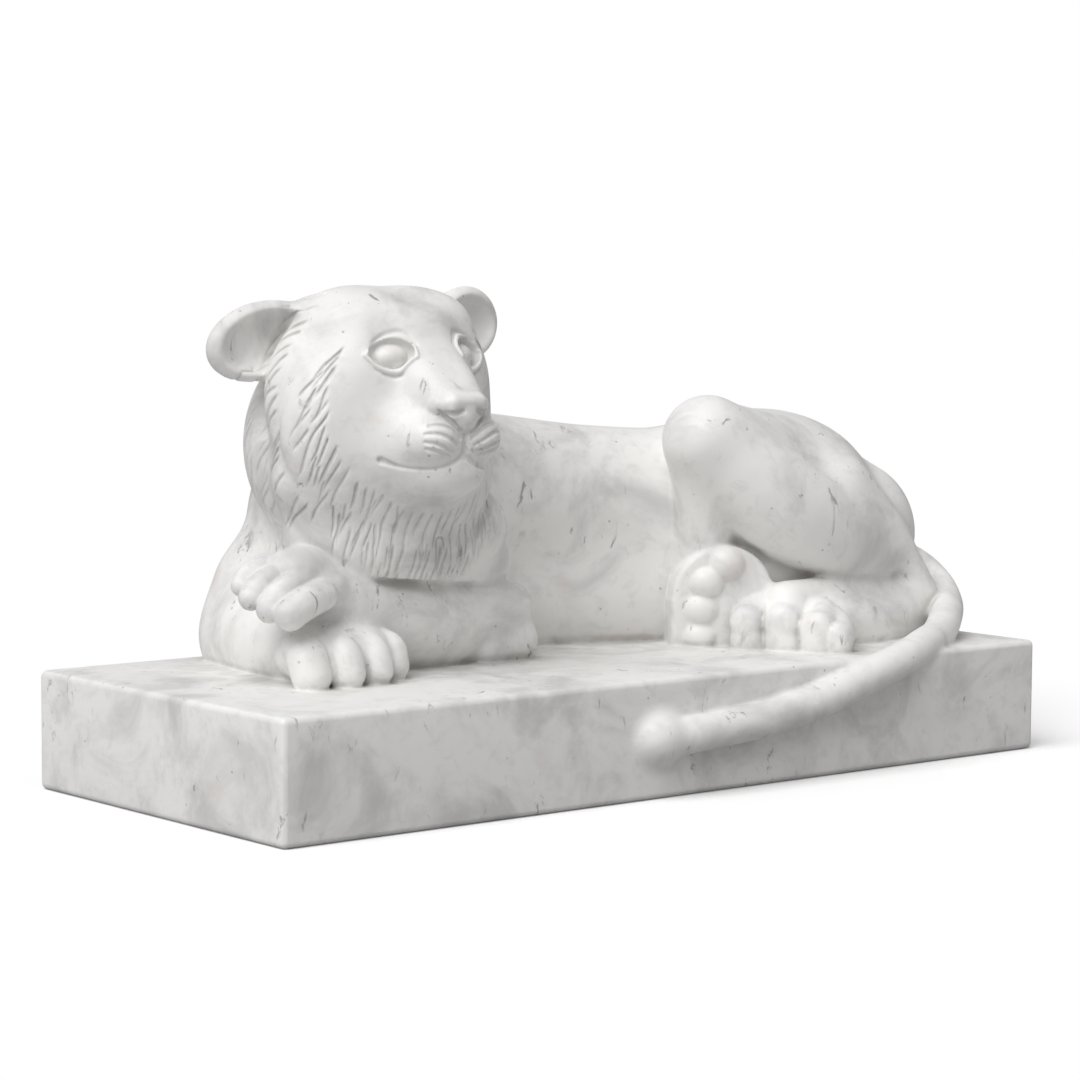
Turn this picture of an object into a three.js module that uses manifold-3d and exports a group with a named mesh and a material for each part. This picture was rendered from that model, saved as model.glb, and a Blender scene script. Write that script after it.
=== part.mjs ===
// A reclining marble lion, carved with its plinth and tail from one block.
// Millimetres, +Z up. The origin is the middle of the plinth's underside. The plinth's long side runs
// along X, the lion's rump is at +X, and it looks towards -Y.
// The body is modelled as a carver would block it out: rounded forms are laid on or cut away one after
// the other, each with a named softness where it meets what is there already.
import * as THREE from "three";
import { RoundedBoxGeometry } from "three/addons/geometries/RoundedBoxGeometry.js";
import { mergeVertices } from "three/addons/utils/BufferGeometryUtils.js";
import Module from "manifold-3d";

// Driving dimensions
const PLINTH_LONG = 600;
const PLINTH_DEEP = 255;
const PLINTH_HIGH = 72;
const PLINTH_EDGE = 4;
const HEAD_PLACE = [-135, 0, 240];
const BACK_HIGH = 222;
const HAUNCH_HIGH = 232;
const TAIL_RADIUS = 11;
const TOE_CREASE = 2;
const LOCK_WIDE = 5;
const LOCK_DEEP = 2.4;

// Fineness of the faceted skin
const CELL = 2.5;
const BLOCK = 8;
const FACETS = 8800;
const EVENNESS = 0.002;
const LEAST_TURN = 0.2;
const LEAST_SHAPE = 0.01;

const FINE_PLACES = [
  { centre: new THREE.Vector3(-135, -70, 250), reach: 68, care: 12 },
  { centre: new THREE.Vector3(-205, -25, 105), reach: 55, care: 3 },
  { centre: new THREE.Vector3(140, -50, 95), reach: 60, care: 2 },
  { centre: new THREE.Vector3(-135, -10, 240), reach: 110, care: 2 },
];

const SIDES = [-1, 1];
const NO_TURN = [0, 0, 0];

// A place and a turn in degrees, inside another such frame
function place(origin, degrees = NO_TURN, parent = new THREE.Matrix4()) {
  const angles = degrees.map(THREE.MathUtils.degToRad);
  const frame = new THREE.Matrix4().makeRotationFromEuler(new THREE.Euler(...angles, "ZYX"));
  frame.setPosition(...origin);
  return frame.premultiply(parent);
}

const HOME = place([0, 0, 0]);
const HEAD = place(HEAD_PLACE);

// Distance from a point to an ellipsoid about the origin, exact enough near its skin
function eggDistance(radii) {
  const [a, b, c] = radii;
  return (p) => {
    const x = p.x / a;
    const y = p.y / b;
    const z = p.z / c;
    const near = Math.sqrt(x * x + y * y + z * z);
    const steep = Math.sqrt((x / a) ** 2 + (y / b) ** 2 + (z / c) ** 2) + 1e-9;
    return (near * (near - 1)) / steep;
  };
}

// Distance to a box with rounded edges about the origin
function blockDistance(half, edge) {
  return (p) => {
    const x = Math.abs(p.x) - half[0] + edge;
    const y = Math.abs(p.y) - half[1] + edge;
    const z = Math.abs(p.z) - half[2] + edge;
    const outside = Math.sqrt(Math.max(x, 0) ** 2 + Math.max(y, 0) ** 2 + Math.max(z, 0) ** 2);
    return outside + Math.min(Math.max(x, y, z), 0) - edge;
  };
}

// Distance to a flat-ended round about the origin, its axis running front to back
function drumDistance(radius, half, edge) {
  return (p) => {
    const across = Math.sqrt(p.x * p.x + p.z * p.z) - radius + edge;
    const along = Math.abs(p.y) - half + edge;
    const outside = Math.sqrt(Math.max(across, 0) ** 2 + Math.max(along, 0) ** 2);
    return outside + Math.min(Math.max(across, along), 0) - edge;
  };
}

// Distance to the skin stretched over two balls
function boneDistance(p, a, b, ra, rb) {
  const bx = b.x - a.x;
  const by = b.y - a.y;
  const bz = b.z - a.z;
  const px = p.x - a.x;
  const py = p.y - a.y;
  const pz = p.z - a.z;
  const l2 = bx * bx + by * by + bz * bz;
  const taper = ra - rb;
  const a2 = l2 - taper * taper;
  if (a2 <= 1e-6) return Math.sqrt(px * px + py * py + pz * pz) - Math.max(ra, rb);
  const y = px * bx + py * by + pz * bz;
  const z = y - l2;
  const x2 = (px * l2 - bx * y) ** 2 + (py * l2 - by * y) ** 2 + (pz * l2 - bz * y) ** 2;
  const y2 = y * y * l2;
  const z2 = z * z * l2;
  const k = Math.sign(taper) * taper * taper * x2;
  if (Math.sign(z) * a2 * z2 > k) return Math.sqrt(x2 + z2) / l2 - rb;
  if (Math.sign(y) * a2 * y2 < k) return Math.sqrt(x2 + y2) / l2 - ra;
  return (Math.sqrt((x2 * a2) / l2) + y * taper) / l2 - ra;
}

// Smooth run through the points, with the radius carried along
function smoothRun(points, radii, steps) {
  const count = (points.length - 1) * steps;
  const route = new THREE.CatmullRomCurve3(points, false, "catmullrom");
  const widths = new THREE.CatmullRomCurve3(radii.map((r) => new THREE.Vector3(r, 0, 0)), false, "catmullrom");
  return { points: route.getPoints(count), radii: widths.getPoints(count).map((v) => v.x) };
}

// The block of clay: forms in the order in which they are laid on or cut away
class Clay {
  constructor() {
    this.forms = [];
    this.frame = HOME;
  }

  add(box, distance, blend, cut) {
    this.forms.push({ box, distance, blend, cut });
  }

  local(centre, turn, reach, distance, blend, cut) {
    const matrix = place(centre, turn, this.frame);
    const back = matrix.clone().invert();
    const box = new THREE.Box3(new THREE.Vector3(...reach).negate(), new THREE.Vector3(...reach));
    box.applyMatrix4(matrix);
    const q = new THREE.Vector3();
    this.add(box, (p) => distance(q.copy(p).applyMatrix4(back)), blend, cut);
  }

  egg(centre, radii, blend, turn = NO_TURN, cut = false) {
    this.local(centre, turn, radii, eggDistance(radii), blend, cut);
  }

  block(centre, half, edge, blend, turn = NO_TURN, cut = false) {
    this.local(centre, turn, half, blockDistance(half, edge), blend, cut);
  }

  drum(centre, radius, half, edge, blend) {
    this.local(centre, NO_TURN, [radius, half, radius], drumDistance(radius, half, edge), blend, false);
  }

  limb(points, radii, blend, steps = 4, cut = false) {
    const placed = points.map((p) => new THREE.Vector3(...p).applyMatrix4(this.frame));
    this.bone(smoothRun(placed, radii, steps), blend, cut);
  }

  bone({ points, radii }, blend, cut) {
    const box = new THREE.Box3().setFromPoints(points).expandByScalar(Math.max(...radii));
    const distance = (p) => {
      let least = Infinity;
      for (let i = 1; i < points.length; i++) {
        least = Math.min(least, boneDistance(p, points[i - 1], points[i], radii[i - 1], radii[i]));
      }
      return least;
    };
    this.add(box, distance, blend, cut);
  }

  // Grooves or raised lines along the surface as it stands: their points are first moved onto it
  lines(lines, blend, steps = 3, cut = true) {
    const runs = lines.map(({ points, radii }) => {
      const placed = points.map((p) => new THREE.Vector3(...p).applyMatrix4(this.frame));
      return smoothRun(placed, radii, steps);
    });
    const forms = [...this.forms];
    for (const run of runs) {
      run.points = run.points.map((p) => settled(forms, p));
      this.bone(run, blend, cut);
    }
  }
}

// Signed distance to the forms taken together, negative inside
function distanceTo(forms, p) {
  let d = 1000;
  for (const form of forms) {
    const e = form.distance(p);
    const k = form.blend;
    const gap = form.cut ? d + e : d - e;
    const h = Math.max(k - Math.abs(gap), 0) / k;
    d = form.cut ? Math.max(d, -e) + h * h * k * 0.25 : Math.min(d, e) - h * h * k * 0.25;
  }
  return d;
}

function nearForms(forms, box, margin) {
  return forms.filter((form) => form.box.clone().expandByScalar(margin + 2 * form.blend).intersectsBox(box));
}

// The point moved onto the surface
function settled(forms, point) {
  const reach = 30;
  const local = nearForms(forms, new THREE.Box3(point, point), reach + 10);
  const p = point.clone();
  const ahead = new THREE.Vector3();
  const behind = new THREE.Vector3();
  const slope = new THREE.Vector3();
  for (let pass = 0; pass < 5; pass++) {
    for (const axis of ["x", "y", "z"]) {
      ahead.copy(p)[axis] += 0.5;
      behind.copy(p)[axis] -= 0.5;
      slope[axis] = distanceTo(local, ahead) - distanceTo(local, behind);
    }
    const step = THREE.MathUtils.clamp(distanceTo(local, p), -reach, reach);
    p.addScaledVector(slope.normalize(), -step);
  }
  return p;
}

function trunk(clay) {
  const spine = BACK_HIGH - 52;
  const back = [[-120, 70, spine - 3], [-60, 78, spine + 2], [0, 77, spine], [60, 66, spine - 6],
    [120, 48, spine - 11], [160, 36, spine - 14]];
  clay.limb(back, [54, 54, 51, 49, 50, 52], 10, 6);
  const belly = [[-110, 72, 106], [-50, 80, 106], [0, 80, 104], [50, 70, 104], [100, 54, 106], [140, 42, 108]];
  clay.limb(belly, [48, 47, 46, 46, 50, 54], 24, 6);
  clay.egg([-70, 54, 148], [56, 40, 70], 20);
  clay.egg([-134, 72, 136], [46, 44, 64], 12);
}

function haunch(clay) {
  clay.egg([196, 30, 146], [94, 64, 74], 26);
  clay.egg([250, 0, 136], [48, 46, 50], 10);
  clay.limb([[107, -18, HAUNCH_HIGH - 27], [150, -6, 184], [205, 2, 160]], [26, 39, 52], 12);
  const calf = [[104, -22, 204], [146, -38, 165], [190, -46, 142], [226, -50, 124]];
  clay.limb(calf, [25, 33, 29, 15], 12);
  clay.limb([[102, -20, 203], [108, -15, 172], [112, -10, 142], [116, -6, 112]], [25, 20, 18.5, 20], 5);
  const tendon = [[205, -36, 168], [235, -44, 145], [255, -52, 120], [264, -56, 100]];
  clay.limb(tendon, [21, 16, 11, 12], 16);
}

// The far foreleg points at the viewer and the near one crosses over it
function forelegs(clay) {
  clay.egg([-156, 86, 104], [43, 38, 52], 12);
  clay.limb([[-168, 92, 86], [-180, 45, 86], [-188, 8, 84]], [34, 31, 26], 12, 5);
  clay.block([-50, 15, 94], [25, 26, 25], 13, 5, [0, 0, 6]);
  clay.egg([-36, 4, 84], [15, 18, 13], 6);
  const near = [[-48, 18, 95], [-95, 12, 98], [-140, 8, 103], [-172, -1, 117], [-198, -6, 131]];
  clay.limb(near, [25, 29, 28, 24, 18], 3, 5);
  clay.limb([[-52, 8, 101], [-100, 4, 106], [-140, 2, 108]], [20, 20.5, 20], 6);
}

function farForepaw(clay) {
  clay.frame = place([-187, -20, PLINTH_HIGH]);
  clay.egg([0, 2, 16], [38, 28, 20], 7);
  for (const [x, y, r] of [[-32, -20, 12], [-10, -24, 11.2], [12, -22, 10.8], [32, -12, 10]]) {
    clay.limb([[x * 0.8, y + 22, 22], [x, y + 5, 18], [x, y, 8]], [r * 0.9, r, r], TOE_CREASE);
  }
  clay.frame = HOME;
}

// The near forepaw hangs over the other one, its toes fanned downwards
function nearForepaw(clay) {
  clay.egg([-208, -8, 136], [18, 18, 15], 6);
  clay.egg([-196, -18, 127], [14, 13, 12], 4);
  const toes = [
    { knuckle: [-218, 3, 140], bend: [-233, 1, 137], tip: [-242, -3, 130], radius: 6.5 },
    { knuckle: [-216, -7, 137], bend: [-233, -11, 132], tip: [-243, -14, 124], radius: 7.5 },
    { knuckle: [-210, -18, 132], bend: [-228, -24, 127], tip: [-239, -27, 118], radius: 8 },
    { knuckle: [-204, -28, 124], bend: [-221, -36, 121], tip: [-234, -40, 116], radius: 9.5 },
  ];
  for (const { knuckle, bend, tip, radius } of toes) {
    clay.limb([knuckle, bend, tip], [radius, radius, radius], TOE_CREASE);
  }
}

// The lowest tier of the mane, undercut where it hangs over the foreleg
function collar(clay) {
  clay.frame = HEAD;
  clay.egg([12, 6, -86], [80, 36, 42], 3);
  clay.egg([55, 20, -108], [50, 31, 26], 8);
  clay.block([16, 10, -153], [120, 80, 40], 2, 2, [0, 6, 0], true);
  clay.frame = HOME;
}

function mane(clay) {
  clay.frame = HEAD;
  clay.egg([4, 48, -28], [57, 56, 78], 14);
  clay.egg([-13, 36, -32], [60, 42, 66], 10);
  for (const side of SIDES) ear(clay, side);
  clay.frame = HEAD;
  // the ruff, and the front ruff with the beard over it
  clay.egg([-2, 10, -3], [77, 34, 65], 3);
  clay.egg([-4, 4, -45], [74, 36, 56], 10);
  clay.egg([-6, -8, -22], [74, 34, 68], 1.5);
  clay.egg([14, -14, -48], [50, 30, 42], 6);
  clay.frame = HOME;
}

function ear(clay, side) {
  const near = { centre: [-74, 26, 30], wide: 35, tall: 23, tilt: -14 };
  const far = { centre: [79, 26, 39], wide: 27, tall: 23, tilt: 0 };
  const { centre, wide, tall, tilt } = side < 0 ? near : far;
  const rim = 3.5;
  clay.frame = place(centre, [0, tilt, 10 * side], HEAD);
  clay.limb([[-34 * side, 6, -4], [-10 * side, 2, -2]], [20, 19], 10, 2);
  clay.egg([0, 0, 0], [wide, 11, tall], 6);
  clay.egg([-2 * side, -13, -1], [wide - rim, 17, tall - rim], 3, NO_TURN, true);
}

function face(clay) {
  clay.frame = HEAD;
  clay.egg([2, 6, 5], [56, 52, 52], 8);
  clay.egg([0, -8, -8], [50, 36, 54], 16);
  for (const side of SIDES) {
    clay.egg([25 * side, 4, 41], [29, 34, 20], 10);
    clay.egg([31 * side, -8, 8], [26, 30, 36], 14);
  }
  clay.egg([0, -22, -30], [42, 40, 34], 20);
  clay.egg([0, -38, -29], [34, 37, 33], 14);
  clay.egg([2, -55, -46], [23, 20, 14], 6);
  for (const side of SIDES) {
    const bridge = [[8 * side, -28, 38], [8 * side, -35, 24], [9.5 * side, -52, 8], [8 * side, -65, -2]];
    clay.limb(bridge, [10, 10, 11, 9.5], 14);
  }
  for (const side of SIDES) clay.egg([15 * side, -59, -25], [18, 20, 15.5], 5, [0, 8 * side, 0]);
  // the nose leather, its lower point and its wings
  clay.block([0, -68, -5], [14, 12.5, 7.5], 5.5, 2.5, [8, 0, 0]);
  clay.egg([0, -72.5, -12], [9, 9, 9], 2.5);
  for (const side of SIDES) clay.egg([13.5 * side, -68.5, -5.5], [6.5, 8, 6.5], 2);
  mouth(clay);
  for (const side of SIDES) eye(clay, side);
  clay.frame = HOME;
}

function mouth(clay) {
  const lines = [{ points: [[0, -84, -20], [0, -81, -27], [0, -79, -34]], radii: [2, 2.4, 2.8] }];
  for (const s of SIDES) {
    lines.push({ points: [[17 * s, -76, -10.5], [11 * s, -80, -11], [6 * s, -83, -8.5]], radii: [1.6, 2.8, 2] });
    const lip = [[0, -79, -34], [9 * s, -77, -40], [20 * s, -67, -42.5], [30 * s, -54, -41], [37 * s, -44, -37]];
    lines.push({ points: lip, radii: [2.6, 2.2, 2, 2, 2.8] });
  }
  clay.lines(lines, 1);
}

// Raised rims for the lids, and between them a hollow with the ball of the eye in it; x runs outwards
function eye(clay, side) {
  clay.frame = place([26 * side, -42, 24.5], [0, 0, 24 * side], HEAD);
  const middle = settled(clay.forms, new THREE.Vector3().setFromMatrixPosition(clay.frame));
  const outer = [18 * side, 0, -2];
  const inner = [-13.5 * side, 0, -5];
  const upper = [outer, [11 * side, 0, 4.5], [3 * side, 0, 9.5], [-4.5 * side, 0, 10], [-10.5 * side, 0, 4], inner];
  const lower = [outer, [12 * side, 0, -7.5], [3 * side, 0, -11], [-5 * side, 0, -10.5], inner];
  const lids = [
    { points: upper, radii: [1.8, 2.2, 2.4, 2.4, 2.2, 1.8] },
    { points: lower, radii: [1.8, 2, 2.2, 2, 1.8] },
  ];
  clay.lines(lids, 1, 3, false);
  clay.frame = place(middle.toArray(), [0, 0, 24 * side]);
  clay.egg([2 * side, 0, -0.5], [14, 6.5, 9.3], 1.2, NO_TURN, true);
  clay.egg([2 * side, 10, -3], [12, 12, 8.5], 0.8);
  clay.frame = HEAD;
}

// Locks of the mane: rows of grooves that run out from the face and turn down with its edge
function locks(clay) {
  clay.frame = HEAD;
  const rows = [
    { count: 19, from: -200, to: 20, start: [0.74, 0.72], end: [0.98, 0.97], egg: [[-6, -8, -22], [74, 34, 68]] },
    { count: 15, from: -186, to: -10, start: [0.86, 0.84], end: [0.99, 0.99], egg: [[-3, 6, -26], [77, 36, 78]] },
  ];
  for (const row of rows) {
    const lines = [];
    for (let i = 0; i < row.count; i++) {
      const angle = THREE.MathUtils.degToRad(THREE.MathUtils.lerp(row.from, row.to, i / (row.count - 1)));
      const bend = -0.16 * Math.cos(angle);
      const points = [0, 0.5, 1].map((t) => onEgg(row.egg, angle - bend * t, row.start, row.end, t));
      lines.push({ points, radii: [LOCK_WIDE * 0.3, LOCK_WIDE / 2, LOCK_WIDE * 0.4] });
    }
    clay.lines(lines, LOCK_DEEP, 2);
  }
  clay.frame = HOME;
}

// A point on the front of a row's egg, at a share of its width and height
function onEgg([centre, radii], angle, start, end, t) {
  const across = THREE.MathUtils.lerp(start[0], end[0], t) * Math.cos(angle);
  const up = THREE.MathUtils.lerp(start[1], end[1], t) * Math.sin(angle);
  const out = Math.sqrt(Math.max(1 - across * across - up * up, 0));
  return [centre[0] + radii[0] * across, centre[1] - radii[1] * out, centre[2] + radii[2] * up];
}

// The near hind foot lies along the plinth, with the tops of its toes rounded
function nearHindFoot(clay) {
  clay.limb([[262, -50, 86], [215, -58, 84], [172, -62, 86]], [16, 19, 20], 6);
  clay.limb([[255, -50, 98], [205, -52, 100], [145, -54, 99]], [12, 14, 15], 6);
  clay.frame = place([128, -68, PLINTH_HIGH], [0, 0, -58]);
  for (const [x, y, r, top] of [[-22.5, 0, 11.5, 29], [0, -2, 12, 29.5], [23, 1, 11.5, 26], [37, 18, 8.5, 19]]) {
    clay.limb([[x * 0.8, 22, top - r + 6], [x, 6, top - r]], [r, r], 4, 3);
    clay.drum([x, 0, top - r], r, 11, 8, TOE_CREASE);
    clay.egg([x, -1, 6], [r, 10.5, 13], TOE_CREASE);
  }
  clay.frame = HOME;
}

// The far hind foot is turned up and shows its sole with the pads
function farHindFoot(clay) {
  clay.limb([[134, -8, 110], [172, -14, 110], [214, -24, 106]], [23, 25, 24], 8, 3);
  clay.frame = place([119, -18, 104], [0, 0, -32]);
  clay.drum([0, 2, 0], 33, 18, 4, 2);
  clay.block([-6, 2, -20], [28, 18, 20], 4, 2);
  const pads = [[2, 21, 11.5, 10.5], [-11, 9, 11.5, 10], [-15, -8.5, 11.5, 9.5], [-15.5, -25.5, 11, 8.5]];
  for (const [x, z, wide, tall] of pads) {
    clay.egg([x, -14, z], [wide, 8, tall], TOE_CREASE);
  }
  clay.frame = HOME;
}

// The tail comes round the rump onto the plinth and runs down over its front
function tail(clay) {
  const front = -PLINTH_DEEP / 2 - 4;
  const route = [[258, 34, 118], [282, 12, 122], [290, -20, 117], [289, -46, 105], [281, -65, 92], [260, -84, 84],
    [234, -102, 77], [205, -117, 74], [176, -128, 69], [145, front, 62], [110, front, 52], [76, front, 45],
    [35, front, 40], [-6, front, 37.5]];
  clay.limb(route, route.map(() => TAIL_RADIUS), 3, 5);
  clay.egg([-27, front + 4, 36], [18.5, 13, 14.5], 9);
}

// Signed distances on a grid, worked out only in the blocks that the surface may cross
function sampled(forms, low, high) {
  const size = high.map((v, i) => Math.ceil((v - low[i]) / CELL / BLOCK) * BLOCK + 1);
  const values = new Float32Array(size[0] * size[1] * size[2]).fill(NaN);
  const index = (i, j, k) => i + size[0] * (j + size[1] * k);
  const spot = (i, j, k, p) => p.set(low[0] + i * CELL, low[1] + j * CELL, low[2] + k * CELL);
  const grid = { values, index, spot, blocks: [] };
  const box = new THREE.Box3();
  const p = new THREE.Vector3();
  for (const [i, j, k] of steps(size.map((n) => n - 1), BLOCK)) {
    spot(i, j, k, box.min);
    spot(i + BLOCK, j + BLOCK, k + BLOCK, box.max);
    const reach = BLOCK * CELL * 1.6;
    if (Math.abs(distanceTo(nearForms(forms, box, reach), box.getCenter(p))) > reach) continue;
    grid.blocks.push([i, j, k]);
    const local = nearForms(forms, box, 2 * CELL);
    for (const [a, b, c] of steps([BLOCK + 1, BLOCK + 1, BLOCK + 1], 1)) {
      const n = index(i + a, j + b, k + c);
      if (Number.isNaN(values[n])) values[n] = distanceTo(local, spot(i + a, j + b, k + c, p));
    }
  }
  return grid;
}

function* steps(ends, step) {
  for (let k = 0; k < ends[2]; k += step) {
    for (let j = 0; j < ends[1]; j += step) {
      for (let i = 0; i < ends[0]; i += step) yield [i, j, k];
    }
  }
}

const oddOrder = (order) => order.reduce((n, v, i) => n + order.slice(i).filter((w) => w < v).length, 0) % 2 === 1;

// The closed skin between inside and outside: each cell of the grid is split into six tetrahedra
function skin({ values, index, spot, blocks }) {
  const tetrahedra = [[0, 1, 3, 7], [0, 3, 2, 7], [0, 2, 6, 7], [0, 6, 4, 7], [0, 4, 5, 7], [0, 5, 1, 7]];
  const points = [];
  const faces = [];
  const known = new Map();
  const ends = [new THREE.Vector3(), new THREE.Vector3()];
  for (const block of blocks) {
    for (const step of steps([BLOCK, BLOCK, BLOCK], 1)) {
      const cell = block.map((v, i) => v + step[i]);
      const corner = (c) => [cell[0] + (c & 1), cell[1] + ((c >> 1) & 1), cell[2] + (c >> 2)];
      const value = (c) => values[index(...corner(c))];
      const below = [0, 1, 2, 3, 4, 5, 6, 7].filter((c) => value(c) < 0);
      if (below.length === 0 || below.length === 8) continue;
      const crossing = (c, d) => {
        const [first, last] = c < d ? [c, d] : [d, c];
        const key = index(...corner(first)) * 8 + (first ^ last);
        if (!known.has(key)) {
          const share = value(first) / (value(first) - value(last));
          spot(...corner(first), ends[0]);
          spot(...corner(last), ends[1]);
          known.set(key, points.length);
          points.push(ends[0].clone().lerp(ends[1], THREE.MathUtils.clamp(share, 0.03, 0.97)));
        }
        return known.get(key);
      };
      for (const tetrahedron of tetrahedra) {
        const inside = [0, 1, 2, 3].filter((n) => below.includes(tetrahedron[n]));
        const outside = [0, 1, 2, 3].filter((n) => !inside.includes(n));
        if (inside.length === 0 || outside.length === 0) continue;
        const order = inside.length < 3 ? [...inside, ...outside] : [...outside, ...inside];
        if (oddOrder(order)) order.push(order.splice(2, 1)[0]);
        const [a, b, c, d] = order.map((n) => tetrahedron[n]);
        if (inside.length === 2) {
          const quad = [crossing(a, c), crossing(a, d), crossing(b, d), crossing(b, c)];
          faces.push([quad[0], quad[1], quad[2]], [quad[0], quad[2], quad[3]]);
        } else {
          const face = [crossing(a, b), crossing(a, c), crossing(a, d)];
          faces.push(inside.length === 1 ? face : face.reverse());
        }
      }
    }
  }
  return { points, faces };
}

// Sum of squared distances to planes, as ten numbers
function addPlane(quadric, normal, offset, weight) {
  const v = [normal.x, normal.y, normal.z, offset];
  let n = 0;
  for (let i = 0; i < 4; i++) {
    for (let j = i; j < 4; j++) quadric[n++] += weight * v[i] * v[j];
  }
}

function planeError(q, p) {
  const { x, y, z } = p;
  return q[0] * x * x + q[4] * y * y + q[7] * z * z + q[9]
    + 2 * (q[1] * x * y + q[2] * x * z + q[5] * y * z + q[3] * x + q[6] * y + q[8] * z);
}

// The point of least error, or null where the planes are too much alike
function bestPoint(q) {
  const matrix = new THREE.Matrix3().set(q[0], q[1], q[2], q[1], q[4], q[5], q[2], q[5], q[7]);
  const scale = (q[0] + q[4] + q[7]) / 3;
  if (matrix.determinant() < 1e-4 * scale ** 3) return null;
  return new THREE.Vector3(-q[3], -q[6], -q[8]).applyMatrix3(matrix.invert());
}

// A heap that gives the cheapest edge first
class Heap {
  constructor() {
    this.items = [];
  }

  push(item) {
    const { items } = this;
    let i = items.push(item) - 1;
    while (i > 0) {
      const up = (i - 1) >> 1;
      if (items[up].cost <= items[i].cost) break;
      [items[up], items[i]] = [items[i], items[up]];
      i = up;
    }
  }

  pop() {
    const { items } = this;
    const top = items[0];
    const last = items.pop();
    if (items.length === 0) return top;
    items[0] = last;
    let i = 0;
    for (;;) {
      let least = i;
      for (const down of [2 * i + 1, 2 * i + 2]) {
        if (down < items.length && items[down].cost < items[least].cost) least = down;
      }
      if (least === i) return top;
      [items[least], items[i]] = [items[i], items[least]];
      i = least;
    }
  }
}

// How much finer than elsewhere the carving is kept at a point: the face most, then the paws
function careFor(point) {
  for (const { centre, reach, care } of FINE_PLACES) {
    if (point.distanceTo(centre) < reach) return care;
  }
  return 1;
}

// Fewer facets: the edges whose loss changes the form least are closed up one by one
function thinned({ points, faces }, wanted) {
  const quadrics = points.map(() => new Float64Array(10));
  const around = points.map(() => []);
  const stamp = new Int32Array(points.length);
  const triangle = new THREE.Triangle();
  const normal = new THREE.Vector3();
  faces.forEach((face, n) => {
    triangle.set(...face.map((v) => points[v]));
    triangle.getNormal(normal);
    for (const v of face) {
      addPlane(quadrics[v], normal, -normal.dot(triangle.a), triangle.getArea() * careFor(triangle.a));
      around[v].push(n);
    }
  });
  const neighbours = (v) => new Set(around[v].flatMap((n) => faces[n]).filter((w) => w !== v));
  const heap = new Heap();
  const offer = (a, b) => {
    const quadric = quadrics[a].map((v, i) => v + quadrics[b][i]);
    const middle = points[a].clone().lerp(points[b], 0.5);
    const long = points[a].distanceTo(points[b]);
    let to = bestPoint(quadric);
    if (!to || to.distanceTo(middle) > long) {
      to = [middle, points[a], points[b]].reduce((m, p) => (planeError(quadric, p) < planeError(quadric, m) ? p : m));
    }
    const cost = Math.max(planeError(quadric, to), 0) + EVENNESS * long * long;
    heap.push({ cost, a, b, to: to.clone(), quadric, stamps: [stamp[a], stamp[b]] });
  };
  const shape = ({ a, b, c }) => {
    const sides = a.distanceToSquared(b) + b.distanceToSquared(c) + c.distanceToSquared(a);
    return triangle.getArea() / sides;
  };
  const meanNormal = (v) => around[v].reduce((sum, n) => {
    triangle.set(...faces[n].map((w) => points[w]));
    return sum.addScaledVector(triangle.getNormal(normal), triangle.getArea());
  }, new THREE.Vector3()).normalize();
  const wellMade = (v, other, to) => {
    const mean = meanNormal(v);
    const before = new THREE.Vector3();
    return around[v].every((n) => {
      const face = faces[n];
      if (face.includes(other)) return true;
      triangle.set(...face.map((w) => points[w]));
      const sliver = shape(triangle) < LEAST_SHAPE;
      const shapeNow = shape(triangle);
      triangle.getNormal(before);
      triangle.set(...face.map((w) => (w === v ? to : points[w])));
      const turned = triangle.getNormal(normal).dot(sliver ? mean : before) < (sliver ? 0 : LEAST_TURN);
      return !turned && shape(triangle) > Math.min(LEAST_SHAPE, shapeNow * 0.5);
    });
  };
  points.forEach((_, a) => {
    for (const b of neighbours(a)) {
      if (a < b) offer(a, b);
    }
  });
  let left = faces.length;
  while (left > wanted && heap.items.length > 0) {
    const { a, b, to, quadric, stamps } = heap.pop();
    if (stamps[0] !== stamp[a] || stamps[1] !== stamp[b]) continue;
    const far = neighbours(b);
    const shared = [...neighbours(a)].filter((v) => far.has(v));
    if (shared.length !== 2 || !wellMade(a, b, to) || !wellMade(b, a, to)) continue;
    const closed = around[a].filter((n) => faces[n].includes(b));
    for (const n of closed) {
      for (const v of faces[n]) around[v] = around[v].filter((m) => m !== n);
      faces[n] = null;
    }
    for (const n of around[b]) faces[n] = faces[n].map((v) => (v === b ? a : v));
    around[a].push(...around[b]);
    around[b] = [];
    points[a].copy(to);
    quadrics[a] = quadric;
    stamp[a] += 1;
    stamp[b] = -1;
    left -= closed.length;
    for (const v of neighbours(a)) offer(a, v);
  }
  return used({ points, faces: faces.filter(Boolean) });
}

// The mesh with only the points that its faces use
function used({ points, faces }) {
  const kept = [...new Set(faces.flat())];
  const number = new Map(kept.map((v, i) => [v, i]));
  return { points: kept.map((v) => points[v]), faces: faces.map((face) => face.map((v) => number.get(v))) };
}

const wasm = await Module();
wasm.setup();

function solid({ points, faces }) {
  const vertProperties = new Float32Array(points.flatMap((p) => [p.x, p.y, p.z]));
  return new wasm.Manifold(new wasm.Mesh({ numProp: 3, vertProperties, triVerts: new Uint32Array(faces.flat()) }));
}

function meshOf({ vertProperties, triVerts }) {
  const points = [];
  const faces = [];
  for (let i = 0; i < vertProperties.length; i += 3) points.push(new THREE.Vector3().fromArray(vertProperties, i));
  for (let i = 0; i < triVerts.length; i += 3) faces.push([...triVerts.subarray(i, i + 3)]);
  return { points, faces };
}

function solidOf(geometry) {
  geometry.deleteAttribute("normal");
  geometry.deleteAttribute("uv");
  const merged = mergeVertices(geometry);
  return solid(meshOf({ vertProperties: merged.attributes.position.array, triVerts: merged.index.array }));
}

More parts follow.
